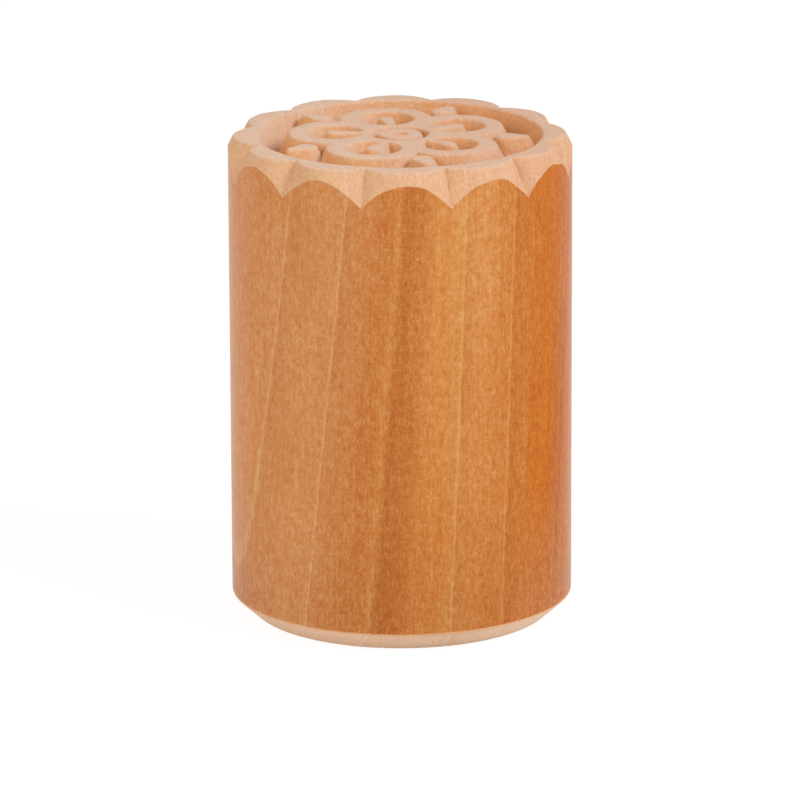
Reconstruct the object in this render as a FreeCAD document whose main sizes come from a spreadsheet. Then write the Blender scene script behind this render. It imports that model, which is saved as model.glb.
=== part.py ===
import FreeCAD, Part
import math
import os
import Sketcher
from FreeCAD import Placement, Rotation, Vector

# Wooden mooncake stamp: one turned wooden cylinder that stands upright on its foot, with the
# pressing face carved into its upper end. One tapered cutter makes every carved wall, so all of
# them lean at the same angle. The face is a flat land at the full height, a recess inside it and
# a raised plum blossom that ends flush with the land. Round the outside the same cutter trims the
# land into lobes, which run out on the turned surface as a row of arches with a notch between.
#
# Frame: millimetres, Z up, origin at the centre of the foot. The middle of a lobe lies on +Y, and
# so would the blossom's first petal if the blossom weren't turned.

# Driving dimensions, in millimetres and degrees
SIZES = [
    ("body_diameter", 35.0, "turned outside diameter"),
    ("body_height", 50.0, "foot to pressing face"),
    ("foot_chamfer_width", 2.2, "chamfer at the foot, across the radius"),
    ("foot_chamfer_height", 2.0, "chamfer at the foot, along the axis"),
    ("wall_angle", 27.0, "lean of every carved wall from upright"),
    ("cutter_tip_radius", 0.1, "flat tip of the cutter, where a pit ends in a point"),
    ("lobe_count", 12, "lobes round the face"),
    ("lobe_inset", 0.62, "turned surface to the tip of a lobe, at the face"),
    ("notch_depth", 1.69, "tip of a lobe to the notch beside it, at the face"),
    ("notch_land", 0.65, "flat land that is left between a notch and the recess"),
    ("recess_depth", 4.5, "face to the floor of the recess"),
    ("blossom_turn", 10.0, "turn of the blossom about the body's axis"),
    ("petal_count", 5, "petals of the blossom"),
    ("petal_margin", 3.2, "edge of the recess to the tip of a petal"),
    ("petal_overlap", 1.8, "how far two neighbouring petals run into each other"),
    ("petal_tip_wall", 1.7, "petal outline, at the tip of the petal"),
    ("petal_root_wall", 2.0, "petal outline, towards the middle of the blossom"),
    ("stamen_head_radius", 0.65, "round end of a stamen, in the middle of its petal"),
    ("stamen_neck_radius", 0.4, "end of a stamen that joins the petal outline"),
    ("stamen_root", 0.6, "how far a stamen starts inside the petal outline"),
    ("hub_radius", 2.1, "button in the middle of the blossom"),
    ("hub_groove_width", 0.9, "groove round the button"),
    ("hub_dimple_radius", 0.8, "dimple in the button"),
    ("leaf_gap", 0.95, "petals to the round end of the leaf between them"),
    ("leaf_root_radius", 1.05, "round end of a leaf, towards the middle"),
    ("leaf_tip_radius", 0.4, "narrow end of a leaf"),
    ("leaf_margin", 1.4, "edge of the recess to the tip of a leaf"),
    ("cut_clearance", 1.0, "how far a cut starts outside the wood"),
    ("joint_overlap", 0.5, "how far a carved form is sunk into the wood below it"),
]

# Sizes worked out from them. Radii and pitches are measured at the pressing face.
DERIVED = [
    ("body_radius", "sizes.body_diameter / 2", "turned outside radius"),
    ("slope", "tan(sizes.wall_angle)", "how far a carved wall leans out for each unit down"),
    ("half_lobe", "180 / sizes.lobe_count", "angle from a lobe's middle to its notch"),
    ("lobe_tip", "body_radius - sizes.lobe_inset", "body's axis to the tip of a lobe"),
    ("notch", "lobe_tip - sizes.notch_depth", "body's axis to a notch"),
    (
        "lobe_pitch",
        "(lobe_tip^2 - notch^2) / (2 * (lobe_tip - notch * cos(half_lobe)))",
        "body's axis to the axis of a lobe",
    ),
    ("lobe_radius", "lobe_tip - lobe_pitch", "radius of a lobe"),
    (
        "notch_reach",
        "sqrt(body_radius^2 + lobe_pitch^2 - 2 * body_radius * lobe_pitch * cos(half_lobe))",
        "axis of a lobe to the turned surface at a notch",
    ),
    (
        "lobe_height",
        "(notch_reach - lobe_radius) / slope + sizes.joint_overlap",
        "lobes, to just below the points of the notches on the turned surface",
    ),
    ("shoulder", "sizes.body_height - lobe_height", "foot to the bottom of the lobes"),
    ("core", "notch - sizes.notch_land / 2", "core of the blank inside the lobes"),
    ("recess", "notch - sizes.notch_land", "radius of the recess"),
    ("carved_depth", "sizes.recess_depth + sizes.joint_overlap", "face to the foot of a carved form"),
    ("carved_foot", "sizes.body_height - carved_depth", "height of that foot"),
    ("spread", "carved_depth * slope", "how far a carved form leans out down to its foot"),
    ("half_petal", "180 / sizes.petal_count", "angle from a petal's middle to the gap beside it"),
    ("blossom", "recess - sizes.petal_margin", "body's axis to the tip of a petal"),
    (
        "petal",
        "(2 * blossom * sin(half_petal) + sizes.petal_overlap) / (2 + 2 * sin(half_petal))",
        "radius of a petal",
    ),
    ("petal_pitch", "blossom - petal", "body's axis to the axis of a petal"),
    ("pit", "petal - (sizes.petal_tip_wall + sizes.petal_root_wall) / 2", "radius of a petal's pit"),
    (
        "pit_pitch",
        "petal_pitch + (sizes.petal_root_wall - sizes.petal_tip_wall) / 2",
        "body's axis to the axis of a pit",
    ),
    (
        "stamen_neck",
        "pit_pitch - pit - sizes.stamen_root + sizes.stamen_neck_radius",
        "body's axis to the centre of a stamen's neck",
    ),
    ("hub_disc", "petal_pitch * cos(half_petal)", "disc that closes the middle of the blossom"),
    ("groove_middle", "sizes.hub_radius + sizes.hub_groove_width / 2", "radius of the hub's groove"),
    (
        "leaf_reach",
        "petal + sizes.leaf_gap + sizes.leaf_root_radius",
        "axis of a petal to the centre of a leaf's root",
    ),
    (
        "leaf_root",
        "-(hub_disc + sqrt(leaf_reach^2 - (petal_pitch * sin(half_petal))^2))",
        "centre of a leaf's root, on the side away from the first petal",
    ),
    (
        "leaf_tip",
        "-(recess - sizes.leaf_margin - sizes.leaf_tip_radius)",
        "centre of a leaf's tip, on the same side",
    ),
]

FACE = "sizes.body_height"
ABOVE_FACE = "sizes.body_height + sizes.cut_clearance"
FULL_TURN = 360.0

# The body's axis, as a sketch on each of the body's planes sees it
AXIS_IN_SKETCH = {
    "XY_Plane": Vector(0, 0, 1),
    "XZ_Plane": Vector(0, 1, 0),
    "YZ_Plane": Vector(0, 1, 0),
}


def make_sizes(doc):
    """The spreadsheet of driving dimensions, and the sizes that are worked out from it."""
    sheet = doc.addObject("Spreadsheet::Sheet", "sizes")
    for row, (alias, value, note) in enumerate(SIZES, start=1):
        sheet.set(f"A{row}", alias)
        sheet.set(f"B{row}", str(value))
        sheet.setAlias(f"B{row}", alias)
        sheet.set(f"C{row}", note)
    doc.recompute()
    derived = doc.addObject("App::VarSet", "derived")
    for name, expression, note in DERIVED:
        derived.addProperty("App::PropertyFloat", name, "Sizes", note)
        derived.setExpression(name, expression)
    doc.recompute()


def value_of(doc, name):
    """The number that a name such as sizes.body_height has now."""
    holder, entry = name.split(".")
    return float(getattr(doc.getObject(holder), entry))


def new_sketch(body, name, plane, lift=None, turn=None):
    """A sketch on one of the body's planes, lifted off it and turned about the body's axis."""
    sketch = body.newObject("Sketcher::SketchObject", name)
    support = next(f for f in body.Origin.OriginFeatures if f.Role == plane)
    sketch.AttachmentSupport = [(support, "")]
    sketch.MapMode = "FlatFace"
    if turn:
        # A turn of nothing would lose its axis, so this one is replaced by the expression
        sketch.AttachmentOffset = Placement(Vector(), Rotation(AXIS_IN_SKETCH[plane], 1.0))
        sketch.setExpression("AttachmentOffset.Rotation.Angle", turn)
    if lift:
        sketch.setExpression("AttachmentOffset.Base.z", lift)
    return sketch


def place_point(sketch, geometry, end, across, along):
    """Holds a point of the sketch at two distances from its origin, or on an axis for None."""
    point = sketch.getPoint(geometry, end)
    for kind, axis, value, expression in (
        ("DistanceX", -2, point.x, across),
        ("DistanceY", -1, point.y, along),
    ):
        if expression is None:
            sketch.addConstraint(Sketcher.Constraint("PointOnObject", geometry, end, axis))
        else:
            number = sketch.addConstraint(Sketcher.Constraint(kind, -1, 1, geometry, end, value))
            sketch.setExpression(f"Constraints[{number}]", expression)


def section(body, name, plane, corners, pitch=None, turn=None):
    """Half the section of a turned form, as an outline of straight edges.

    A corner is how far it lies from the form's own axis, None for on it, and its height. The
    form's axis is upright, at the pitch from the body's axis, or it is the body's axis itself."""
    sketch = new_sketch(body, name, plane, turn=turn)
    count = len(corners)
    # The outline starts as a regular one, and its corners then go where they are held
    angles = [2 * math.pi * i / count for i in range(count)]
    start = [Vector(math.cos(angle), math.sin(angle), 0) for angle in angles]
    for i in range(count):
        sketch.addGeometry(Part.LineSegment(start[i], start[(i + 1) % count]), False)
    for i in range(count):
        sketch.addConstraint(Sketcher.Constraint("Coincident", i, 2, (i + 1) % count, 1))
    for i, (across, along) in enumerate(corners):
        if pitch:
            across = f"{pitch} + {across}" if across else pitch
        place_point(sketch, i, 1, across, along)
    if pitch:
        axis = sketch.addGeometry(Part.LineSegment(Vector(), Vector(0, 1, 0)), True)
        place_point(sketch, axis, 1, pitch, corners[0][1])
        place_point(sketch, axis, 2, pitch, corners[-1][1])
    return sketch


def turned_form(body, kind, name, outline):
    """A section turned all the way round its axis: a Revolution adds it, a Groove cuts it."""
    feature = body.newObject(f"PartDesign::{kind}", name)
    feature.Profile = outline
    own_axis = any(outline.getConstruction(i) for i in range(outline.GeometryCount))
    feature.ReferenceAxis = (outline, ["Axis0" if own_axis else "V_Axis"])
    feature.Angle = FULL_TURN
    outline.Visibility = False
    return feature


def round_about(body, name, feature, count):
    """Repeats a feature round the body's axis."""
    pattern = body.newObject("PartDesign::PolarPattern", name)
    pattern.Originals = [feature]
    pattern.Axis = (next(f for f in body.Origin.OriginFeatures if f.Role == "Z_Axis"), [""])
    pattern.Angle = FULL_TURN
    pattern.setExpression("Occurrences", count)
    body.Tip = pattern
    return pattern


def cone_corners(radius, spread, foot):
    """A form whose wall leans out from a radius at the face to its foot."""
    return [(None, foot), (f"{radius} + {spread}", foot), (radius, FACE), (None, FACE)]


def pit_corners(radius):
    """A pit that narrows from a radius at the face to the floor, or to a point above the floor."""
    tip = "sizes.cutter_tip_radius"
    bottom = f"max({radius} - sizes.recess_depth * derived.slope; {tip})"
    depth = f"min(sizes.recess_depth; ({radius} - {tip}) / derived.slope)"
    mouth = f"{radius} + sizes.cut_clearance * derived.slope"
    floor = f"{FACE} - {depth}"
    return [(None, floor), (bottom, floor), (mouth, ABOVE_FACE), (None, ABOVE_FACE)]


def drop(body, name, blunt, narrow):
    """A leaning form whose outline at the face is a drop: two round ends and their tangents.

    Each end is the names of its centre's place along the first petal's middle and its radius."""
    doc = body.Document
    sketch = new_sketch(body, f"{name}_outline", "XY_Plane", lift=FACE, turn="sizes.blossom_turn")
    y_blunt, r_blunt = (value_of(doc, entry) for entry in blunt)
    y_narrow, r_narrow = (value_of(doc, entry) for entry in narrow)
    # The tangents touch both ends at this angle from the sketch's X, and at its mirror image
    side = math.copysign(1.0, y_narrow - y_blunt)
    touch = side * math.asin((r_blunt - r_narrow) / abs(y_narrow - y_blunt))
    ends = [touch, math.pi - touch]
    for y, r, way in ((y_blunt, r_blunt, -side), (y_narrow, r_narrow, side)):
        start, stop = ends if way > 0 else (ends[1], ends[0] + 2 * math.pi)
        circle = Part.Circle(Vector(0, y, 0), Vector(0, 0, 1), r)
        sketch.addGeometry(Part.ArcOfCircle(circle, start, stop), False)
    sketch.addGeometry(Part.LineSegment(sketch.getPoint(0, 2), sketch.getPoint(1, 1)), False)
    sketch.addGeometry(Part.LineSegment(sketch.getPoint(1, 2), sketch.getPoint(0, 1)), False)
    for first, second in ((0, 2), (2, 1), (1, 3), (3, 0)):
        sketch.addConstraint(Sketcher.Constraint("Tangent", first, 2, second, 1))
    for arc, (y, r) in enumerate((blunt, narrow)):
        place_point(sketch, arc, 3, None, y)
        number = sketch.addConstraint(Sketcher.Constraint("Radius", arc, value_of(doc, r)))
        sketch.setExpression(f"Constraints[{number}]", r)
    pad = body.newObject("PartDesign::Pad", name)
    pad.Profile = sketch
    pad.Type = "Length"
    pad.Reversed = True
    pad.setExpression("Length", "derived.carved_depth")
    pad.setExpression("TaperAngle", "sizes.wall_angle")
    sketch.Visibility = False
    return pad


def turned_blank(body):
    """The turned body with its chamfered foot, stepped down where the lobes are added."""
    corners = [
        (None, None),
        ("derived.body_radius - sizes.foot_chamfer_width", None),
        ("derived.body_radius", "sizes.foot_chamfer_height"),
        ("derived.body_radius", "derived.shoulder"),
        ("derived.core", "derived.shoulder"),
        ("derived.core", FACE),
        (None, FACE),
    ]
    turned_form(body, "Revolution", "turned_blank", section(body, "blank_section", "XZ_Plane", corners))


def scalloped_rim(body):
    """The ring of leaning lobes, then the turned surface that trims them into arches."""
    lean = "derived.lobe_height * derived.slope"
    corners = cone_corners("derived.lobe_radius", lean, "derived.shoulder")
    outline = section(body, "lobe_section", "YZ_Plane", corners, "derived.lobe_pitch")
    lobe = turned_form(body, "Revolution", "lobe", outline)
    round_about(body, "lobe_ring", lobe, "sizes.lobe_count")
    beyond = f"derived.lobe_tip + {lean} + sizes.cut_clearance"
    corners = [
        ("derived.body_radius", "derived.shoulder"),
        (beyond, "derived.shoulder"),
        (beyond, ABOVE_FACE),
        ("derived.body_radius", ABOVE_FACE),
    ]
    outline = section(body, "turning_section", "XZ_Plane", corners)
    turned_form(body, "Groove", "outside_turning", outline)


def recess(body):
    """The round recess inside the land."""
    outline = section(body, "recess_section", "XZ_Plane", pit_corners("derived.recess"))
    turned_form(body, "Groove", "recess", outline)


def blossom(body):
    """The blossom's solid petals, and the disc that closes the gap between them in the middle."""
    turn = "sizes.blossom_turn"
    corners = cone_corners("derived.petal", "derived.spread", "derived.carved_foot")
    outline = section(body, "petal_section", "YZ_Plane", corners, "derived.petal_pitch", turn)
    petal = turned_form(body, "Revolution", "petal", outline)
    round_about(body, "petal_ring", petal, "sizes.petal_count")
    corners = cone_corners("derived.hub_disc", "derived.spread", "derived.carved_foot")
    outline = section(body, "hub_section", "XZ_Plane", corners)
    turned_form(body, "Revolution", "hub_disc", outline)


def petal_pits(body):
    """The pits, which leave the outlines of the petals standing."""
    turn = "sizes.blossom_turn"
    corners = pit_corners("derived.pit")
    outline = section(body, "pit_section", "YZ_Plane", corners, "derived.pit_pitch", turn)
    pit = turned_form(body, "Groove", "petal_pit", outline)
    round_about(body, "pit_ring", pit, "sizes.petal_count")


def hub_button(body):
    """The V groove that sets off the button in the middle, and the button's dimple."""
    half = "sizes.hub_groove_width / 2"
    mouth = f"({half} + sizes.cut_clearance * derived.slope)"
    corners = [
        ("derived.groove_middle", f"{FACE} - {half} / derived.slope"),
        (f"derived.groove_middle + {mouth}", ABOVE_FACE),
        (f"derived.groove_middle - {mouth}", ABOVE_FACE),
    ]
    turned_form(body, "Groove", "hub_groove", section(body, "groove_section", "XZ_Plane", corners))
    corners = pit_corners("sizes.hub_dimple_radius")
    turned_form(body, "Groove", "hub_dimple", section(body, "dimple_section", "XZ_Plane", corners))


def stamens(body):
    """A short stroke in each petal, from its outline to the middle of its pit."""
    head = ("derived.pit_pitch", "sizes.stamen_head_radius")
    neck = ("derived.stamen_neck", "sizes.stamen_neck_radius")
    round_about(body, "stamen_ring", drop(body, "stamen", head, neck), "sizes.petal_count")


def leaves(body):
    """A leaf in each gap between two petals, its narrow end outwards."""
    root = ("derived.leaf_root", "sizes.leaf_root_radius")
    tip = ("derived.leaf_tip", "sizes.leaf_tip_radius")
    round_about(body, "leaf_ring", drop(body, "leaf", root, tip), "sizes.petal_count")


def mooncake_stamp(doc):
    """The whole stamp: one piece of wood."""
    body = doc.addObject("PartDesign::Body", "mooncake_stamp")
    body.Label = "mooncake_stamp"
    for step in (turned_blank, scalloped_rim, recess, blossom, petal_pits, hub_button, stamens, leaves):
        step(body)
        doc.recompute()
    return body


def check(doc, pieces):
    """Stops before anything is written if a feature failed or a piece isn't one sound solid."""
    for item in doc.Objects:
        if "Invalid" in item.State or "Error" in item.State:
            raise RuntimeError(f"{item.Name} failed: {item.State}")
    for piece in pieces:
        if piece.Shape.isNull() or not piece.Shape.isValid():
            raise RuntimeError(f"{piece.Label} has no sound shape")
        if len(piece.Shape.Solids) != 1:
            raise RuntimeError(f"{piece.Label} came out as {len(piece.Shape.Solids)} solids")


def main():
    doc = FreeCAD.newDocument("mooncake_stamp")
    make_sizes(doc)
    pieces = [mooncake_stamp(doc)]
    check(doc, pieces)
    os.makedirs("parts", exist_ok=True)
    for piece in pieces:
        piece.Shape.exportStep(f"parts/{piece.Label}.step")
        box = piece.Shape.optimalBoundingBox(False)
        print(
            f"{piece.Label}: {box.XLength:.2f} x {box.YLength:.2f} x {box.ZLength:.2f} mm,"
            f" {piece.Shape.Volume / 1000:.2f} cm3, {len(piece.Shape.Faces)} faces"
        )


main()
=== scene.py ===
"""Looks of the wooden mooncake stamp: worn carved edges, stained turned side and bare carved wood.

Lengths are in millimetres in the CAD frame, and meshes are scaled to metres as they are made."""

import math

import bpy
import numpy as np
from mathutils import Matrix, Vector, geometry


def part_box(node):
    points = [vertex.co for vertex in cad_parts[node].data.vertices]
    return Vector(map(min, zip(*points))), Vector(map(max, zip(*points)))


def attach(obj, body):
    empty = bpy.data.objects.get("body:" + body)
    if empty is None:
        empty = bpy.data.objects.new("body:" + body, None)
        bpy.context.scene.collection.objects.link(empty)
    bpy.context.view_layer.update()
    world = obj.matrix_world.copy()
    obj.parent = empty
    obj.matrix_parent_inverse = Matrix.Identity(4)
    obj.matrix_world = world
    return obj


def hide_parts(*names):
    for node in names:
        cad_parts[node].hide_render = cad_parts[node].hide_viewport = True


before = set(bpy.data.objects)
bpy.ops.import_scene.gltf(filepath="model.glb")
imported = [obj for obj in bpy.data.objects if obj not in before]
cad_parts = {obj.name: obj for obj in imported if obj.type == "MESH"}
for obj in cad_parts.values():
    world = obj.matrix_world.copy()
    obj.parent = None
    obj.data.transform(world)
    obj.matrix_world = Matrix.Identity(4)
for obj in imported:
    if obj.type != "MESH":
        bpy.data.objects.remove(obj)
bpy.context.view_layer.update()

MM = 0.001
NODE = "mooncake_stamp"
node_low, node_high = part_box(NODE)

# Turned body
BODY_RADIUS = (node_high.x - node_low.x) / 2 / MM
BODY_HEIGHT = node_high.z / MM
CHAMFER_WIDTH = 2.2
CHAMFER_HEIGHT = 2.0
CHAMFER_WEAR = 0.12
WORN_BAND = 0.2

# Carved walls, which all lean by the same angle
SLOPE = math.tan(math.radians(27.0))
EDGE_WEAR = 0.11
CREASE_SCORE = 0.22

# How a hand-held knife strays from the drawn plan: length of the wave, its direction and its size
KNIFE_WAVES = ((4.3, 20.0, 0.03), (3.1, 75.0, 0.03), (5.2, 140.0, 0.04), (2.2, 110.0, 0.015))

# Rim of lobes and the recess
LOBE_COUNT = 12
LOBE_INSET = 0.62
NOTCH_DEPTH = 1.69
NOTCH_LAND = 0.65
LOBE_TIP = BODY_RADIUS - LOBE_INSET
NOTCH = LOBE_TIP - NOTCH_DEPTH
HALF_LOBE = math.pi / LOBE_COUNT
LOBE_PITCH = (LOBE_TIP**2 - NOTCH**2) / (2 * (LOBE_TIP - NOTCH * math.cos(HALF_LOBE)))
LOBE_RADIUS = LOBE_TIP - LOBE_PITCH
RIM_SHIFT = (-0.04, -0.05)
SLIPPED_LOBE = 7
LOBE_SLIP = (0.06, -0.18)
RECESS = NOTCH - NOTCH_LAND
CORE = NOTCH - NOTCH_LAND / 2
RECESS_DEPTH = 4.5

# Blossom
PETAL_COUNT = 5
HALF_PETAL = math.pi / PETAL_COUNT
FIRST_PETAL = math.radians(100.0)
PETAL_OVERLAP = 1.8
TIP_WALL = 1.7
ROOT_WALL = 2.0
BLOSSOM_MARGIN = 3.2
BLOSSOM = RECESS - BLOSSOM_MARGIN
PETAL = (2 * BLOSSOM * math.sin(HALF_PETAL) + PETAL_OVERLAP) / (2 + 2 * math.sin(HALF_PETAL))
PETAL_PITCH = BLOSSOM - PETAL
PIT = PETAL - (TIP_WALL + ROOT_WALL) / 2
PIT_PITCH = PETAL_PITCH + (ROOT_WALL - TIP_WALL) / 2
HUB_DISC = PETAL_PITCH * math.cos(HALF_PETAL)
HUB = 2.1
HUB_GROOVE = 0.9
HUB_DIMPLE = 0.8
STAMEN_HEAD = 0.65
STAMEN_NECK = 0.4
STAMEN_ROOT = 0.6
STAMEN_END = PIT_PITCH - PIT - STAMEN_ROOT + STAMEN_NECK
LEAF_GAP = 0.95
LEAF_ROOT = 1.05
LEAF_TIP = 0.4
LEAF_MARGIN = 1.4
LEAF_OFFSET = PETAL_PITCH * math.sin(HALF_PETAL)
LEAF_START = HUB_DISC + math.sqrt((PETAL + LEAF_GAP + LEAF_ROOT) ** 2 - LEAF_OFFSET**2)
LEAF_END = RECESS - LEAF_MARGIN - LEAF_TIP

# Mesh of the carved end: the outline, the creases, and a lattice of even triangles between them
RIM_POINTS = 720
SEARCH_STEP = 0.1
HALVINGS = 12
ALONG_CREASE = 0.12
ACROSS_CREASE = 0.04
CLEAR_OF_CREASE = 0.2
FILL_STEP = 0.42
ROW_SHARE = math.sqrt(0.75)
MERGE_WITHIN = 1e-6

# Labels of the spots where two forms meet: each form's factor, and the number that they stay under
ONE_FACTOR = 1009
OTHER_FACTOR = 9176
LABEL_LIMIT = 99991

# Mesh of the side: how far below the face its even rows start, clear of the notches, the rows of
# the side and of each worn corner, and the rings in the foot as shares of its radius
ROWS_START = 5.0
SIDE_ROWS = 12
CORNER_ROWS = 5
FOOT_RINGS = (0.75, 0.4, 0.1)
STAINED = 0
BARE = 1

# Growth rings: their direction in plan, the lean of their lines and where the pale lines cross it.
# The fibres lean the same way
RING_ANGLE = math.radians(13.15)
RING_LEVEL = 46.0
RING_TILTS = (0.082, 0.037)
RING_TILTS_AT = (-10.0, 1.0)
LAST_TILT = 0.028
LAST_TILT_AT = (8.5, 12.5)
RING_WOBBLE = 0.15
RING_LINES = (-19.0, -14.1, -9.6, -4.6, 2.2, 7.7, 15.35, 18.4, 21.5)
FIBRES = Vector((0.085, 0.0, 1.0)).normalized()

# Tones along one ring, as shares of its length: each ends in a pale line and starts again darker
PLAIN = (1.0, 1.0, 1.0)
RING_START = (0.94, 0.89, 0.88)
PALE_LINE = (1.06, 1.19, 1.32)
RING_TONES = (
    (0.0, RING_START),
    (0.28, PLAIN),
    (0.946, PLAIN),
    (0.96, PALE_LINE),
    (0.985, PALE_LINE),
    (1.0, RING_START),
)

# Marks of the grain: how often they repeat along each axis per millimetre, detail and roughness
WOBBLE = ((0.12, 0.12, 0.06), 1)
BANDS = ((1.1, 1.0, 0.012), 4, 0.65)
RAYS = ((0.5, 0.5, 3.0), 1)
FLECKS = ((3.5, 3.5, 2.0),)
MARKS = {
    "clouds": ((0.16, 0.16, 0.07), 3),
    "streaks": ((3.0, 3.0, 0.12), 2),
    "mottle": ((1.6, 1.6, 1.0), 2),
    "dashes": ((4.0, 4.0, 1.6), 1),
    "grain": ((7.0, 7.0, 5.0), 1),
}
USUAL_NOISE = (0.25, 0.75)

# How far each mark moves the depth of the colour in stained and in bare wood, its light and the wear
STAIN_SWAY = {
    "bands": 0.05,
    "clouds": 0.04,
    "streaks": 0.055,
    "rays": 0.025,
    "mottle": 0.10,
    "dashes": 0.10,
    "grain": 0.11,
}
BARE_SWAY = {
    "bands": 0.035,
    "clouds": 0.04,
    "streaks": 0.045,
    "mottle": 0.05,
    "dashes": 0.08,
    "grain": 0.10,
}
LIGHT_SWAY = {"grain": -0.025, "dashes": -0.015}
WEAR_SWAY = {"grain": 0.2, "mottle": 0.2}

# Bands of stain at their places across the rings: amber on one side, a golden and a dark band
# past the middle, and deep orange on the other side
STAIN_BANDS = (
    (-17.0, (0.585, 0.23, 0.075)),
    (-9.8, (0.62, 0.257, 0.088)),
    (-6.8, (0.55, 0.19, 0.048)),
    (-5.6, (0.54, 0.187, 0.044)),
    (-4.8, (0.57, 0.215, 0.055)),
    (-4.1, (0.475, 0.147, 0.031)),
    (-0.8, (0.59, 0.225, 0.057)),
    (0.6, (0.6, 0.228, 0.056)),
    (1.3, (0.612, 0.258, 0.073)),
    (5.3, (0.59, 0.222, 0.057)),
    (6.2, (0.556, 0.194, 0.045)),
    (7.3, (0.556, 0.194, 0.045)),
    (7.6, (0.588, 0.21, 0.049)),
    (8.0, (0.535, 0.181, 0.037)),
    (12.8, (0.52, 0.135, 0.005)),
    (15.2, (0.465, 0.11, 0.004)),
    (18.6, (0.53, 0.185, 0.043)),
)

# How far the rings' tones show in the stain, across the rings
STAIN_RINGS = (
    (-12.0, 1.0),
    (-11.5, 0.9),
    (-6.5, 0.9),
    (-6.0, 0.0),
    (-1.5, 0.0),
    (-1.0, 1.0),
    (5.0, 1.0),
    (5.5, 0.9),
    (11.0, 0.9),
    (11.5, 0.0),
    (13.5, 0.0),
    (14.5, 1.0),
)

# Colour that changes up the side: the orange fades towards the foot, and painted shade darkens the
# side, and the middle most, towards the foot
FADED_COLOR = (0.56, 0.2, 0.06, 1)
FADED_SHARE = 0.8
FADED_HEIGHTS = (3.0, 16.0)
FADED_RINGS = (7.0, 11.0)
PAINTED_LOW_SHADE = ((3.0, (0.92, 0.92, 0.96)), (15.0, PLAIN))
MIDDLE_FROM = (-5.0, -3.0)
MIDDLE_TO = (4.5, 7.0)
# Painted shade in the middle of the side: darker low, a little lighter high
PAINTED_SHADE_DEPTH = (0.065, -0.03)
PAINTED_SHADE_HEIGHTS = (13.0, 38.0)

# Pale flecks in the stain, and wood laid bare where the stain is worn off
FLECK_COLOR = (0.85, 0.52, 0.24, 1)
FLECK_SHARE = 0.4
FLECK_NOISE = (0.82, 0.88)
WORN_COLOR = (0.74, 0.46, 0.27, 1)
WORN_SHARE = 0.8
WORN_FROM = (0.55, 0.95)

# Bare wood, by how far a face looks along the fibres and, in the recess, by how far it faces the
# right: painted light and shade there, and painted light at the foot's ends
END_GRAIN = (0.735, 0.495, 0.35, 1)
END_GRAIN_FACING = (0.37, 0.7)
SIDE_GRAIN = (0.70, 0.385, 0.195, 1)
# Painted light and shade on the recess walls: deep orange as shade where they face away from the
# light, pale where they face it
PAINTED_SHADE_WALL = (0.73, 0.36, 0.145, 1)
PAINTED_LIGHT_WALL = (0.79, 0.54, 0.37, 1)
FACING_THE_LIGHT = (0.15, 0.85)
FACE_TONES = ((-10.0, PLAIN), (12.0, (0.94, 0.87, 0.84)))
# Partly the wood's own yellower tone, partly painted light: the foot is paler at its ends, most at the
# right, as light from the floor would make it
FOOT_TONES_AND_LIGHT = ((-8.0, (1.03, 1.01, 0.94)), (2.0, (0.98, 0.99, 0.93)), (12.0, (1.11, 1.17, 1.19)))
FOOT_TOP = (2.0, 4.0)
BARE_RINGS = 0.4

# Relief and gloss of the two surfaces
STAIN_RELIEF = 0.012
STAIN_ROUGHNESS = 0.30
STAIN_SPECULAR = 0.07
BARE_RELIEF = 0.03
BARE_ROUGHNESS = 0.75
BARE_SPECULAR = 0.25

# Studio: an even room, a floor that glows white to the camera, and lamps with their places,
# sizes and watts
WHITE = (1, 1, 1, 1)
ROOM_STRENGTH = 0.55
FLOOR_REACH = 1500.0
FLOOR_COLOR = (0.9, 0.9, 0.9, 1)
FLOOR_GLOW = 1.1
FLOOR_GLOW_SHARES = (0.28, 0.8)
LAMPS = (
    ("key_lamp", (235, -160, 300), 150, 0.70),
    ("fill_lamp", (-500, -350, 300), 300, 1.25),
    ("side_lamp", (480, -160, 50), 150, 0.24),
)

# Camera
CAMERA_ANGLE = math.radians(-92.245)
CAMERA_REACH = 669.83
CAMERA_HEIGHT = 211.71
CAMERA_PITCH = math.radians(15.826)
CAMERA_YAW = math.radians(0.0093)
CAMERA_ROLL = -0.004
LENS = 305.3
SENSOR = 36.0
NEAR_CLIP = 50.0
FAR_CLIP = 10000.0


def polar(angle, reach):
    """The plan point at an angle and a reach from the body's axis."""
    return np.array([math.cos(angle), math.sin(angle)]) * reach


def distance(points, centre):
    return np.hypot(points[:, 0] - centre[0], points[:, 1] - centre[1])


def drop_distance(points, start, start_radius, end, end_radius):
    """Distance outside a drop: two round ends and the tangents that join them."""
    along = end - start
    length = np.hypot(*along)
    unit = along / length
    offset = points - start
    lean = (start_radius - end_radius) / length
    upright = math.sqrt(1 - lean**2)
    y = offset @ unit
    x = np.abs(offset @ np.array([-unit[1], unit[0]]))
    # The foot on the straight side, moved along by the taper
    foot = y - x * lean / upright
    side = x * upright + y * lean - start_radius
    at_start = np.hypot(x, y) - start_radius
    at_end = np.hypot(x, y - length) - end_radius
    return np.where(foot < 0, at_start, np.where(foot > length, at_end, side))


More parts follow.
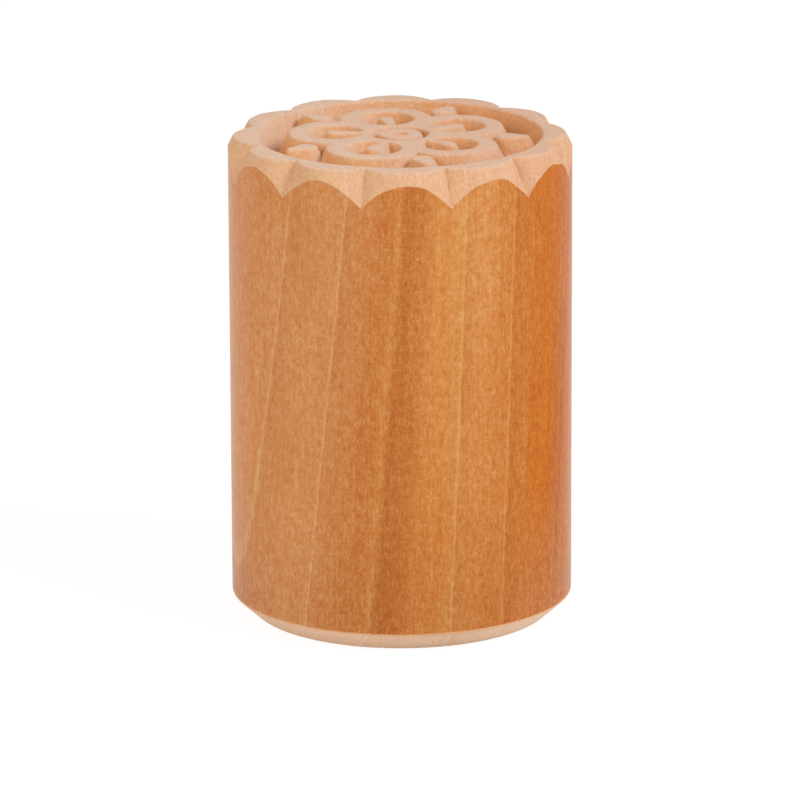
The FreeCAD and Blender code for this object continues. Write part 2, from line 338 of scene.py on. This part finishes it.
class Carving:
    """Depth below the face over the plan, with a label for the forms that shape each spot."""

    def __init__(self, points):
        self.points = points
        self.radius = distance(points, (0, 0))
        self.labels = 0

    def form(self, depth):
        """A form by its depth, with a label of its own."""
        self.labels += 1
        depth = np.broadcast_to(depth, len(self.points))
        return depth, np.full(len(self.points), self.labels)

    def raised(self, outside):
        """A form that stands up to the face, by the distance outside its edge there."""
        return self.form(outside / SLOPE)

    def sunk(self, outside, floor=None):
        """A cut, by the distance outside its edge at the face, down to a floor."""
        wall = self.form(-outside / SLOPE)
        return self.join(wall, self.form(floor)) if floor else wall

    def blend(self, one, other, way, width):
        """The deeper (way 1) or higher (way -1) of two forms, cut down a little where they meet."""
        reach = width / SLOPE
        gap = one[0] - other[0]
        first = gap * way > 0
        share = np.clip(1 - np.abs(gap) / reach, 0, 1)
        depth = np.where(first, one[0], other[0]) + share**2 * reach / 4
        both = ONE_FACTOR * one[1] + OTHER_FACTOR * other[1] + first + 1
        label = np.where(share > 0, both % LABEL_LIMIT, np.where(first, one[1], other[1]))
        return depth, label

    def join(self, *forms):
        """Forms that run into each other: the one that stands higher shows."""
        shape = forms[0]
        for form in forms[1:]:
            shape = self.blend(shape, form, -1, CREASE_SCORE)
        return shape

    def cut(self, *forms):
        """Cuts into each other: the deeper one shows."""
        shape = forms[0]
        for form in forms[1:]:
            shape = self.blend(shape, form, 1, EDGE_WEAR)
        return shape


def stray(points):
    """Plan points moved a little, as a hand-held knife strays. A wave's direction is its phase too."""
    moved = points.copy()
    for length, direction, size in KNIFE_WAVES:
        along = polar(math.radians(direction), 2 * math.pi / length)
        sideways = polar(math.radians(direction + 90), size)
        moved += np.sin(points @ along + direction)[:, None] * sideways
    return moved


def lobe_centre(lobe):
    """The middle of a lobe's cone: the rim is cut a little off the axis, and one lobe slipped."""
    centre = polar(2 * HALF_LOBE * lobe, LOBE_PITCH) + RIM_SHIFT
    return centre + LOBE_SLIP if lobe == SLIPPED_LOBE else centre


def rim(carving):
    """The land, with its outside cut into lobes."""
    lobes = [
        carving.raised(distance(carving.points, lobe_centre(lobe)) - LOBE_RADIUS)
        for lobe in range(LOBE_COUNT)
    ]
    face = carving.form(0.0)
    return carving.cut(face, carving.join(carving.raised(carving.radius - CORE), *lobes))


def blossom(carving):
    """Petals with their pits, a hub in a groove, and the strokes of the stamens and leaves."""
    petals = [carving.raised(carving.radius - HUB_DISC)]
    hub = carving.raised(carving.radius - HUB)
    groove = carving.join(hub, carving.raised(HUB + HUB_GROOVE - carving.radius))
    cuts = [groove, carving.sunk(carving.radius - HUB_DIMPLE)]
    strokes = []
    for petal in range(PETAL_COUNT):
        angle = FIRST_PETAL + 2 * HALF_PETAL * petal
        between = angle + HALF_PETAL
        pit = polar(angle, PIT_PITCH)
        outside = distance(carving.points, polar(angle, PETAL_PITCH)) - PETAL
        petals.append(carving.raised(outside))
        cuts.append(carving.sunk(distance(carving.points, pit) - PIT, RECESS_DEPTH))
        for drop in (
            (pit, STAMEN_HEAD, polar(angle, STAMEN_END), STAMEN_NECK),
            (polar(between, LEAF_START), LEAF_ROOT, polar(between, LEAF_END), LEAF_TIP),
        ):
            strokes.append(carving.raised(drop_distance(carving.points, *drop)))
    return carving.join(carving.cut(carving.join(*petals), *cuts), *strokes)


def carve(points):
    """Depth below the face and label at plan points."""
    carving = Carving(stray(points))
    land = rim(carving)
    recess = carving.sunk(carving.radius - RECESS, RECESS_DEPTH)
    return carving.cut(land, carving.join(recess, blossom(carving)))


def crease_points():
    """Points on the lines where one form gives way to another, found on a fine grid."""
    steps = np.arange(-BODY_RADIUS, BODY_RADIUS + SEARCH_STEP, SEARCH_STEP)
    grid = np.stack(np.meshgrid(steps, steps, indexing="ij"), -1)
    label = carve(grid.reshape(-1, 2))[1].reshape(grid.shape[:2])
    starts, ends = [], []
    # Neighbours along both axes of the grid and both diagonals
    for one, two in (
        (np.s_[:-1, :], np.s_[1:, :]),
        (np.s_[:, :-1], np.s_[:, 1:]),
        (np.s_[:-1, :-1], np.s_[1:, 1:]),
        (np.s_[1:, :-1], np.s_[:-1, 1:]),
    ):
        change = label[one] != label[two]
        starts.append(grid[one][change])
        ends.append(grid[two][change])
    start, end = np.concatenate(starts), np.concatenate(ends)
    near = carve(start)[1]
    far = carve(end)[1]
    for _ in range(HALVINGS):
        middle = (start + end) / 2
        here = carve(middle)[1]
        same = here == near
        start = np.where(same[:, None], middle, start)
        end = np.where(same[:, None], end, middle)
        far = np.where(same, far, here)
    # One number for each pair of labels, whichever side they are on
    key = np.minimum(near, far) * LABEL_LIMIT + np.maximum(near, far)
    inside = distance(start, (0, 0)) < BODY_RADIUS - ALONG_CREASE / 2
    return start[inside], key[inside]


class Cells:
    """Points kept in square cells, to find those round a spot."""

    def __init__(self, size):
        self.size = size
        self.held = {}

    def add(self, x, y, key=None):
        cell = int(x // self.size), int(y // self.size)
        self.held.setdefault(cell, []).append((x, y, key))

    def around(self, x, y):
        """The distance and the key of each point in a spot's cell and the cells next to it."""
        column, row = int(x // self.size), int(y // self.size)
        for i in (column - 1, column, column + 1):
            for j in (row - 1, row, row + 1):
                for held_x, held_y, key in self.held.get((i, j), ()):
                    yield math.hypot(x - held_x, y - held_y), key


def spread_out(points, keys):
    """Leaves out points that crowd each other: along one crease, or across two."""
    cells = Cells(ALONG_CREASE)
    kept = []
    for (x, y), key in zip(points.tolist(), keys.tolist()):
        crowded = any(
            gap < (ALONG_CREASE if key == other else ACROSS_CREASE)
            for gap, other in cells.around(x, y)
        )
        if not crowded:
            cells.add(x, y, key)
            kept.append((x, y))
    return np.array(kept)


def fill_points(crease):
    """A regular lattice over the rest of the face, clear of the creases and the outline."""
    cells = Cells(CLEAR_OF_CREASE)
    for x, y in crease.tolist():
        cells.add(x, y)
    points = []
    rows = int(BODY_RADIUS / (FILL_STEP * ROW_SHARE))
    columns = int(BODY_RADIUS / FILL_STEP) + 1
    for row in range(-rows, rows + 1):
        for column in range(-columns, columns + 1):
            x = (column + row % 2 / 2) * FILL_STEP
            y = row * FILL_STEP * ROW_SHARE
            inside = math.hypot(x, y) <= BODY_RADIUS - CLEAR_OF_CREASE
            if inside and all(gap >= CLEAR_OF_CREASE for gap, _ in cells.around(x, y)):
                points.append((x, y))
    return np.array(points)


def face_mesh():
    """Vertices and triangles of the carved end, its outline first and in order."""
    angles = np.arange(RIM_POINTS) * 2 * math.pi / RIM_POINTS
    outline = np.stack([np.cos(angles), np.sin(angles)], -1) * BODY_RADIUS
    crease = spread_out(*crease_points())
    points = np.concatenate([outline, crease, fill_points(crease)])
    flat = [Vector(point) for point in points.tolist()]
    made = geometry.delaunay_2d_cdt(flat, [], [], 0, MERGE_WITHIN)
    corners, faces, origins = made[0], made[2], made[3]
    assert len(corners) == len(points)
    order = [origin[0] for origin in origins]
    triangles = [[order[corner] for corner in face] for face in faces]
    vertices = np.column_stack([points, BODY_HEIGHT - carve(points)[0]])
    return vertices.tolist(), triangles


def worn_corner(before, corner, after):
    """Points that round a corner of the chamfer off."""
    before, corner, after = (np.array(point, float) for point in (before, corner, after))
    start = corner + (before - corner) / np.linalg.norm(before - corner) * CHAMFER_WEAR
    end = corner + (after - corner) / np.linalg.norm(after - corner) * CHAMFER_WEAR
    shares = np.linspace(0, 1, CORNER_ROWS)[:, None]
    return (1 - shares) ** 2 * start + 2 * shares * (1 - shares) * corner + shares**2 * end


def side_profile():
    """Radius and height of each row down the turned side, the chamfer and the foot."""
    foot_radius = BODY_RADIUS - CHAMFER_WIDTH
    highest = BODY_HEIGHT - ROWS_START
    lowest = CHAMFER_HEIGHT + CHAMFER_WEAR + WORN_BAND
    side = [(BODY_RADIUS, height) for height in np.linspace(highest, lowest, SIDE_ROWS)]
    shoulder = (BODY_RADIUS, CHAMFER_HEIGHT)
    heel = (foot_radius, 0.0)
    upper = worn_corner(side[-1], shoulder, heel)
    lower = worn_corner(shoulder, heel, (0.0, 0.0))
    inner = [(foot_radius * share, 0.0) for share in FOOT_RINGS]
    return [*side, *upper, *lower, *inner]


def stamp_form():
    """The closed form: its vertices with their wear, and its faces with their materials."""
    vertices, faces = face_mesh()
    wear = [1.0] * len(vertices)
    materials = [BARE] * len(faces)
    outline = vertices[:RIM_POINTS]
    rings = [[(x, y, z - WORN_BAND) for x, y, z in outline]]
    for radius, height in side_profile():
        share = radius / BODY_RADIUS
        rings.append([(x * share, y * share, height) for x, y, _ in outline])
    above = 0
    # Wear starts, and the stain ends, where the chamfer's upper corner starts to round
    for row, ring in enumerate(rings):
        first = len(vertices)
        vertices += ring
        wear += [0.0 if row <= SIDE_ROWS else 1.0] * RIM_POINTS
        for i in range(RIM_POINTS):
            j = (i + 1) % RIM_POINTS
            faces.append([above + i, first + i, first + j, above + j])
            materials.append(STAINED if row <= SIDE_ROWS + 1 else BARE)
        above = first
    faces.append(list(range(above + RIM_POINTS - 1, above - 1, -1)))
    materials.append(BARE)
    return vertices, wear, faces, materials


def add_object(name, data):
    """A new object of the scene that shows a mesh, a lamp or a camera."""
    made = bpy.data.objects.new(name, data)
    bpy.context.scene.collection.objects.link(made)
    return made


def build_stamp(stained, bare):
    """The whole stamp as one closed mesh."""
    vertices, wear, faces, materials = stamp_form()
    mesh = bpy.data.meshes.new("stamp_wood")
    mesh.from_pydata([Vector(vertex) * MM for vertex in vertices], [], faces)
    mesh.materials.append(stained)
    mesh.materials.append(bare)
    mesh.polygons.foreach_set("material_index", materials)
    mesh.polygons.foreach_set("use_smooth", [True] * len(faces))
    mesh.attributes.new("wear", "FLOAT", "POINT").data.foreach_set("value", wear)
    sharp = mesh.attributes.new("sharp_edge", "BOOLEAN", "EDGE")
    is_outline = [max(edge.vertices) < RIM_POINTS for edge in mesh.edges]
    sharp.data.foreach_set("value", is_outline)
    mesh.update()
    mesh.validate()
    stamp = add_object("stamp_wood", mesh)
    weighted = stamp.modifiers.new("even_shading", "WEIGHTED_NORMAL")
    weighted.keep_sharp = True
    return stamp


class Shader:
    """Short calls for building a node tree."""

    def __init__(self, tree):
        self.tree = tree
        tree.nodes.clear()

    def node(self, kind, inputs=None, **settings):
        """A node with its settings, and with values or other nodes' outputs on its inputs."""
        made = self.tree.nodes.new(kind)
        for name, value in settings.items():
            setattr(made, name, value)
        for name, value in (inputs or {}).items():
            if isinstance(value, bpy.types.NodeSocket):
                self.tree.links.new(value, made.inputs[name])
            else:
                made.inputs[name].default_value = value
        return made

    def math(self, operation, *values, clamp=False):
        inputs = dict(enumerate(values))
        made = self.node("ShaderNodeMath", inputs, operation=operation, use_clamp=clamp)
        return made.outputs[0]

    def vector(self, operation, *values):
        """A vector, or a number where the operation gives one."""
        made = self.node("ShaderNodeVectorMath", dict(enumerate(values)), operation=operation)
        return made.outputs["Value" if operation in ("DOT_PRODUCT", "LENGTH") else "Vector"]

    def span(self, value, to_low, to_high, low=0.0, high=1.0):
        """A value from one span moved into another, and held at its ends."""
        inputs = dict(enumerate((value, low, high, to_low, to_high)))
        return self.node("ShaderNodeMapRange", inputs, clamp=True).outputs[0]

    def noise(self, place, scales, detail=0.0, rough=0.5):
        """Noise with its own scale along each axis, per millimetre."""
        place = self.vector("MULTIPLY", place, scales)
        inputs = {"Vector": place, "Scale": 1.0, "Detail": detail, "Roughness": rough}
        return self.node("ShaderNodeTexNoise", inputs).outputs["Fac"]

    def ramp(self, value, *stops):
        """Colours at places along a value, from the first stop's place to the last one's."""
        low, high = stops[0][0], stops[-1][0]
        made = self.node("ShaderNodeValToRGB", {0: self.span(value, 0, 1, low, high)})
        elements = made.color_ramp.elements
        # The ramp has two stops already. The others start midway and then move to their places
        for _ in stops[2:]:
            elements.new(0.5)
        for element, (place, color) in zip(elements, stops):
            element.position = (place - low) / (high - low)
            element.color = (*color, 1)
        return made.outputs[0]

    def levels(self, value, *stops):
        """Numbers at places along a value."""
        return self.ramp(value, *((place, (number,) * 3) for place, number in stops))

    def sway(self, value, figure, shares):
        """Moves a value up and down by marks of the grain, each by its own share."""
        for mark, share in shares.items():
            moved = self.span(figure[mark], -share, share, *USUAL_NOISE)
            value = self.math("ADD", value, moved)
        return value

    def mix(self, share, one, two, kind="MIX"):
        """A mix of two colours, which are the node's sockets 6 and 7."""
        inputs = {0: share, 6: one, 7: two}
        made = self.node("ShaderNodeMix", inputs, data_type="RGBA", blend_type=kind)
        return made.outputs[2]

    def tint(self, color, tone, share=1.0):
        """A colour times a tone, in full or by a share."""
        return self.mix(share, color, tone, kind="MULTIPLY")

    def deepen(self, color, depth):
        """A colour darkened where depth is over 1, for a thicker stain and for painted shade: its
        weaker colours darken most.
        """
        return self.node("ShaderNodeGamma", {"Color": color, "Gamma": depth}).outputs[0]

    def surface(self, color, height, relief, roughness, specular):
        """A surface with relief of a depth in millimetres, from a height between 0 and 1."""
        bump = {"Height": height, "Distance": relief * MM, "Strength": 1.0}
        inputs = {
            "Base Color": color,
            "Roughness": roughness,
            "Specular IOR Level": specular,
            "Normal": self.node("ShaderNodeBump", bump).outputs[0],
        }
        wood = self.node("ShaderNodeBsdfPrincipled", inputs)
        self.node("ShaderNodeOutputMaterial", {"Surface": wood.outputs[0]})

    def seen(self):
        """1 for the rays that show the white background: direct, mirrored or passing through."""
        path = self.node("ShaderNodeLightPath")
        seen = self.math("ADD", path.outputs["Is Camera Ray"], path.outputs["Is Glossy Ray"])
        return self.math("ADD", seen, path.outputs["Is Transmission Ray"], clamp=True)

    def show_mix(self, output, share, one, two):
        """An output that shows a mix of two shaders."""
        inputs = {0: share, 1: one.outputs[0], 2: two.outputs[0]}
        mixed = self.node("ShaderNodeMixShader", inputs)
        self.node(output, {"Surface": mixed.outputs[0]})


def material(name):
    """A new material and its empty node tree."""
    made = bpy.data.materials.new(name)
    made.use_nodes = True
    return made, Shader(made.node_tree)


def wood_figure(nodes):
    """What stained and bare wood share: the place across the rings, and the marks of the grain."""
    place = nodes.node("ShaderNodeTexCoord").outputs["Object"]
    place = nodes.vector("MULTIPLY", place, (1 / MM, 1 / MM, 1 / MM))
    height = nodes.node("ShaderNodeSeparateXYZ", {0: place}).outputs["Z"]
    across = nodes.vector("DOT_PRODUCT", place, (*polar(RING_ANGLE, 1.0), 0.0))
    down = nodes.math("SUBTRACT", RING_LEVEL, height)
    tilt = nodes.span(across, *RING_TILTS, *RING_TILTS_AT)
    tilt = nodes.math("ADD", tilt, nodes.span(across, 0, LAST_TILT, *LAST_TILT_AT))
    ring = nodes.math("MULTIPLY_ADD", down, tilt, across)
    wobble = nodes.span(nodes.noise(place, *WOBBLE), -RING_WOBBLE, RING_WOBBLE)
    ring = nodes.math("ADD", ring, wobble)
    count = 0.0
    for line, following in zip(RING_LINES, RING_LINES[1:]):
        count = nodes.math("ADD", count, nodes.span(ring, 0, 1, line, following))
    along_ring = nodes.node("ShaderNodeCombineXYZ", {"X": ring, "Z": height}).outputs[0]
    figure = {mark: nodes.noise(place, *noise) for mark, noise in MARKS.items()}
    figure["bands"] = nodes.noise(along_ring, *BANDS)
    figure["place"] = place
    figure["height"] = height
    figure["ring"] = ring
    figure["tone"] = nodes.ramp(nodes.math("FRACT", count), *RING_TONES)
    figure["light"] = nodes.sway(1.0, figure, LIGHT_SWAY)
    return figure


def stained_wood():
    """The turned side: satin orange-brown stain over the figure of the wood."""
    made, nodes = material("stained_wood")
    figure = wood_figure(nodes)
    figure["rays"] = nodes.noise(figure["place"], *RAYS)
    ring, height = figure["ring"], figure["height"]
    # The deep orange fades towards the foot
    low = nodes.span(height, FADED_SHARE, 0, *FADED_HEIGHTS)
    faded = nodes.math("MULTIPLY", low, nodes.span(ring, 0, 1, *FADED_RINGS))
    color = nodes.mix(faded, nodes.ramp(ring, *STAIN_BANDS), FADED_COLOR)
    # Painted shade: the whole side is darker towards the foot
    color = nodes.tint(color, nodes.ramp(height, *PAINTED_LOW_SHADE))
    # The rings' edges show more in some places than in others
    color = nodes.tint(color, figure["tone"], nodes.levels(ring, *STAIN_RINGS))
    # Painted shade: the middle is darker towards the foot and a little lighter up the side, on top of
    # the stain's own depth
    rising = nodes.span(ring, 0, 1, *MIDDLE_FROM)
    falling = nodes.span(ring, 1, 0, *MIDDLE_TO)
    middle = nodes.math("MULTIPLY", rising, falling)
    painted_shade = nodes.span(height, *PAINTED_SHADE_DEPTH, *PAINTED_SHADE_HEIGHTS)
    depth = nodes.sway(1.0, figure, STAIN_SWAY)
    color = nodes.deepen(color, nodes.math("MULTIPLY_ADD", painted_shade, middle, depth))
    color = nodes.tint(color, figure["light"])
    flecks = nodes.noise(figure["place"], *FLECKS)
    color = nodes.mix(nodes.span(flecks, 0, FLECK_SHARE, *FLECK_NOISE), color, FLECK_COLOR)
    wear = nodes.node("ShaderNodeAttribute", attribute_name="wear").outputs["Fac"]
    wear = nodes.sway(wear, figure, WEAR_SWAY)
    color = nodes.mix(nodes.span(wear, 0, WORN_SHARE, *WORN_FROM), color, WORN_COLOR)
    nodes.surface(color, figure["dashes"], STAIN_RELIEF, STAIN_ROUGHNESS, STAIN_SPECULAR)
    return made


def bare_wood():
    """The carved face, the chamfer and the foot: cut wood with no finish."""
    made, nodes = material("bare_wood")
    figure = wood_figure(nodes)
    ring, height = figure["ring"], figure["height"]
    normal = nodes.node("ShaderNodeNewGeometry").outputs["True Normal"]
    along_fibres = nodes.math("ABSOLUTE", nodes.vector("DOT_PRODUCT", normal, FIBRES))
    to_right = nodes.vector("DOT_PRODUCT", normal, (1, 0, 0))
    radius = nodes.vector("LENGTH", nodes.vector("MULTIPLY", figure["place"], (1, 1, 0)))
    # Painted light and shade: in the recess the walls that face the right, towards the key lamp, are
    # painted paler, and those that face away a deep orange as shade
    wall = nodes.mix(nodes.span(to_right, 0, 1, *FACING_THE_LIGHT), PAINTED_SHADE_WALL, PAINTED_LIGHT_WALL)
    side_grain_and_painted_walls = nodes.mix(nodes.span(radius, 1, 0, RECESS, NOTCH), SIDE_GRAIN, wall)
    end_grain = nodes.span(along_fibres, 0, 1, *END_GRAIN_FACING)
    color = nodes.mix(end_grain, side_grain_and_painted_walls, END_GRAIN)
    face_tone = nodes.ramp(ring, *FACE_TONES)
    # Painted light: the chamfer and foot are paler towards their ends, most at the right
    foot_tone_and_light = nodes.ramp(ring, *FOOT_TONES_AND_LIGHT)
    tone = nodes.mix(nodes.span(height, 0, 1, *FOOT_TOP), foot_tone_and_light, face_tone)
    color = nodes.tint(color, tone)
    color = nodes.tint(color, figure["tone"], BARE_RINGS)
    color = nodes.deepen(color, nodes.sway(1.0, figure, BARE_SWAY))
    color = nodes.tint(color, figure["light"])
    nodes.surface(color, figure["grain"], BARE_RELIEF, BARE_ROUGHNESS, BARE_SPECULAR)
    return made


def build_floor():
    """A floor that looks white and keeps a little of the stamp's shadow."""
    mesh = bpy.data.meshes.new("floor")
    reach = FLOOR_REACH * MM
    corners = [(-reach, -reach, 0), (reach, -reach, 0), (reach, reach, 0), (-reach, reach, 0)]
    mesh.from_pydata(corners, [], [(0, 1, 2, 3)])
    made, nodes = material("floor_white")
    paper = nodes.node("ShaderNodeBsdfDiffuse", {"Color": FLOOR_COLOR})
    glow = nodes.node("ShaderNodeEmission", {"Color": WHITE, "Strength": FLOOR_GLOW})
    share = nodes.span(nodes.seen(), *FLOOR_GLOW_SHARES)
    nodes.show_mix("ShaderNodeOutputMaterial", share, paper, glow)
    mesh.materials.append(made)
    return add_object("floor", mesh)


def build_world():
    """An even room that looks white behind the stamp."""
    world = bpy.data.worlds.new("studio")
    bpy.context.scene.world = world
    world.use_nodes = True
    nodes = Shader(world.node_tree)
    room = nodes.node("ShaderNodeBackground", {"Color": WHITE, "Strength": ROOM_STRENGTH})
    white = nodes.node("ShaderNodeBackground", {"Color": WHITE, "Strength": 1.0})
    nodes.show_mix("ShaderNodeOutputWorld", nodes.seen(), room, white)


def soft_lamp(name, place, size, power):
    """A square lamp that faces the middle of the stamp."""
    lamp = bpy.data.lights.new(name, "AREA")
    lamp.size = size * MM
    lamp.energy = power
    made = add_object(name, lamp)
    made.location = Vector(place) * MM
    aim = Vector((0, 0, BODY_HEIGHT / 2)) * MM - made.location
    made.rotation_euler = aim.to_track_quat("-Z", "Y").to_euler()


def build_camera():
    """The photograph's view, from a place out from the axis, with its yaw, pitch and roll."""
    camera = bpy.data.cameras.new("camera")
    camera.lens = LENS
    camera.sensor_width = SENSOR
    camera.clip_start = NEAR_CLIP * MM
    camera.clip_end = FAR_CLIP * MM
    ahead = -Vector((math.cos(CAMERA_ANGLE), math.sin(CAMERA_ANGLE), 0))
    place = -ahead * CAMERA_REACH + Vector((0, 0, CAMERA_HEIGHT))
    ahead = Matrix.Rotation(CAMERA_YAW, 3, "Z") @ ahead
    level = ahead.cross(Vector((0, 0, 1)))
    forward = ahead * math.cos(CAMERA_PITCH) - Vector((0, 0, math.sin(CAMERA_PITCH)))
    raised = level.cross(forward)
    right = level * math.cos(CAMERA_ROLL) + raised * math.sin(CAMERA_ROLL)
    up = right.cross(forward)
    turn = Matrix((right, up, -forward)).transposed().to_4x4()
    made = add_object("camera", camera)
    made.matrix_world = Matrix.Translation(place * MM) @ turn
    bpy.context.scene.camera = made


bpy.context.scene.view_settings.view_transform = "Standard"
build_camera()
build_world()
build_floor()
for lamp in LAMPS:
    soft_lamp(*lamp)
stamp = build_stamp(stained_wood(), bare_wood())
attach(stamp, "root")
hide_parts(NODE)
